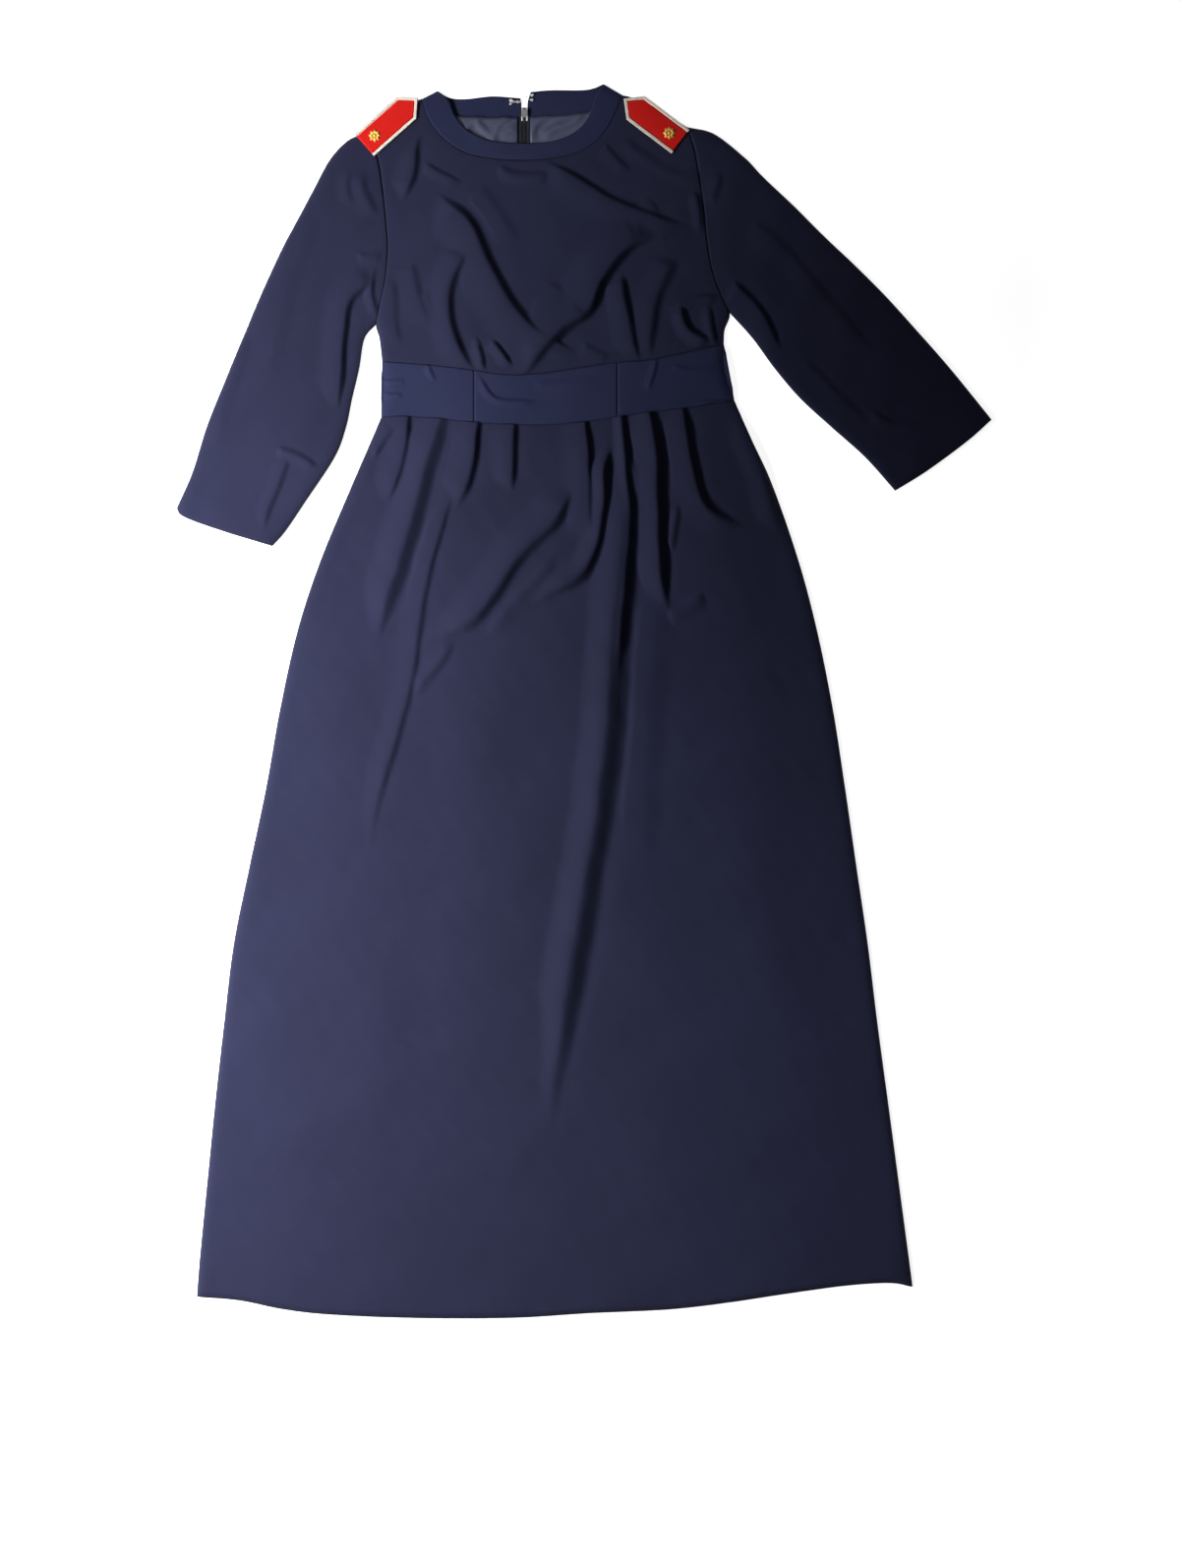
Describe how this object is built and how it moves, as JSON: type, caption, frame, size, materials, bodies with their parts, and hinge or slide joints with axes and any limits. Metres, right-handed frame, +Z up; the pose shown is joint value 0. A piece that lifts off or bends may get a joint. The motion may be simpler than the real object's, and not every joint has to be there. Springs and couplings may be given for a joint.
{
  "type": "mess dress",
  "caption": "Long navy mess dress laid flat on its back, with a faced neckband, wide waistband, pleated skirt, three-quarter sleeves, back zip and red shoulder boards.",
  "frame": {"origin": "under the middle of the dress's box, on the surface it lies on", "axes": "+Y from the hem to the neck, +X to the wearer's left sleeve, +Z up out of the front"},
  "size_m": [0.928, 1.4042, 0.0158],
  "materials": {
    "navy_cloth": "matt crepe",
    "navy_band": "slightly lustrous faced cloth",
    "navy_lining": "satin lining",
    "zip_tape": "woven zip tape and nylon coil",
    "nickel": "plated",
    "board_red": "fulled wool over card",
    "edging_white": "cream braid",
    "gilt": "gilt"
  },
  "bodies": {
    "dress": {"bodice_front": "navy_cloth", "bodice_back_right": "navy_cloth", "bodice_back_left": "navy_cloth", "sleeve_right": "navy_cloth", "sleeve_left": "navy_cloth", "skirt_front": "navy_cloth", "skirt_back_right": "navy_cloth", "skirt_back_left": "navy_cloth", "neckband_front": "navy_band", "neckband_back_right": "navy_band", "neckband_back_left": "navy_band", "waistband_front_right": "navy_band", "waistband_front_centre": "navy_band", "waistband_front_left": "navy_band", "waistband_back_right": "navy_band", "waistband_back_left": "navy_band", "lining_back_right": "navy_lining", "lining_back_left": "navy_lining", "zip_tape_right": "zip_tape", "zip_tape_left": "zip_tape", "zip_coil": "zip_tape", "zip_slider": "nickel", "neck_hook": "nickel", "neck_eye": "nickel", "board_right": "board_red", "board_left": "board_red", "board_edging_right": "edging_white", "board_edging_left": "edging_white", "badge_right": "gilt", "badge_left": "gilt"},
    "zip_pull": {"zip_pull": "nickel"}
  },
  "joints": [
    {"name": "zip_pull_swing", "type": "hinge", "parent": "dress", "child": "zip_pull", "pos_m": [-0.068, 0.6743, 0.0011], "axis": [1, 0, 0], "range_deg": [0, 150]}
  ]
}
